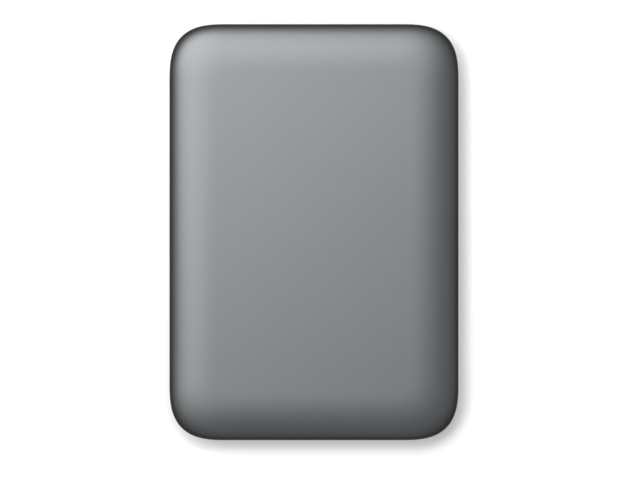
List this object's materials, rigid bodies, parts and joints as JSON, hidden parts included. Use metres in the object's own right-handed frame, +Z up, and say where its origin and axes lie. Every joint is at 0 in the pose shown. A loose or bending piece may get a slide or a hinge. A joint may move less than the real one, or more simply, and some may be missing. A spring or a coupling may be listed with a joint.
{
  "type": "external hard drive",
  "caption": "Slim portable hard drive case with a softly domed grey top, rounded corners and rubber feet, holding a disk drive and a USB port at one end.",
  "frame": {"origin": "centre of the footprint, at the underside of the rubber feet", "axes": "+X across the width to the right as seen from above, +Y along the length towards the port end, +Z up through the top cover"},
  "size_m": [0.082, 0.118, 0.015],
  "materials": {
    "base_plastic": "matte",
    "black_resin": "satin",
    "board_mask": "satin",
    "bright_steel": "satin",
    "bronze": "satin",
    "cast_aluminium": "satin",
    "chip_resin": "matte",
    "clear_plastic": "gloss",
    "copper": "satin",
    "disk_coating": "polished",
    "flex_film": "gloss",
    "foam": "matte",
    "gold_contact": "gloss",
    "machined_aluminium": "satin",
    "magnet_nickel": "gloss",
    "rubber": "matte",
    "shell_paint": "satin"
  },
  "bodies": {
    "housing": {"top_cover": "shell_paint", "bottom_cover": "base_plastic", "feet": "rubber", "bumper_front_left": "rubber", "bumper_front_right": "rubber", "bumper_back_left": "rubber", "bumper_back_right": "rubber", "top_pads": "foam", "light_pipe": "clear_plastic", "bridge_board": "board_mask", "bridge_chip": "chip_resin", "flash_chip": "chip_resin", "clock_crystal": "bright_steel", "status_led": "clear_plastic", "usb_shell": "bright_steel", "usb_tongue": "black_resin", "usb_contacts": "gold_contact", "sata_socket": "black_resin", "sata_socket_contacts": "gold_contact", "drive_base": "cast_aluminium", "drive_cover": "bright_steel", "cover_gasket": "foam", "cover_screws": "bright_steel", "spindle_sleeve": "bronze", "stator_core": "bright_steel", "stator_coils": "copper", "pivot_shaft": "bright_steel", "lower_yoke": "bright_steel", "lower_magnet": "magnet_nickel", "upper_magnet": "magnet_nickel", "upper_yoke": "bright_steel", "yoke_standoffs": "bright_steel", "load_ramp": "clear_plastic", "crash_stops": "rubber", "recirculation_filter": "clear_plastic", "flex_bracket": "black_resin", "flex_cable": "flex_film", "drive_board": "board_mask", "controller_chip": "chip_resin", "motor_driver_chip": "chip_resin", "cache_chip": "chip_resin", "board_screws": "bright_steel", "sata_plug": "black_resin", "sata_plug_contacts": "gold_contact"},
    "disk_pack": {"spindle_hub": "machined_aluminium", "spindle_shaft": "bright_steel", "rotor_magnet": "magnet_nickel", "platter_lower": "disk_coating", "platter_spacer": "machined_aluminium", "platter_upper": "disk_coating", "disk_clamp": "bright_steel", "clamp_screw": "bright_steel"},
    "head_stack": {"pivot_bearing": "bright_steel", "arm_block": "machined_aluminium", "voice_coil": "copper", "coil_frame": "black_resin", "head_suspensions": "bright_steel", "head_sliders": "chip_resin"},
    "latch": {"latch_lever": "black_resin"}
  },
  "joints": [
    {"name": "spindle_spin", "type": "hinge", "parent": "housing", "child": "disk_pack", "pos_m": [0, -0.01628, 0.00425], "axis": [0, 0, 1], "continuous": true},
    {"name": "actuator_swing", "type": "hinge", "parent": "housing", "child": "head_stack", "pos_m": [0.0135, 0.02473, 0.00425], "axis": [0, 0, -1], "range_deg": [0, 39], "deforming": ["flex_cable"]},
    {"name": "latch_swing", "type": "hinge", "parent": "housing", "child": "latch", "pos_m": [-0.009, 0.0374, 0.00725], "axis": [0, 0, 1], "range_deg": [0, 10]}
  ]
}
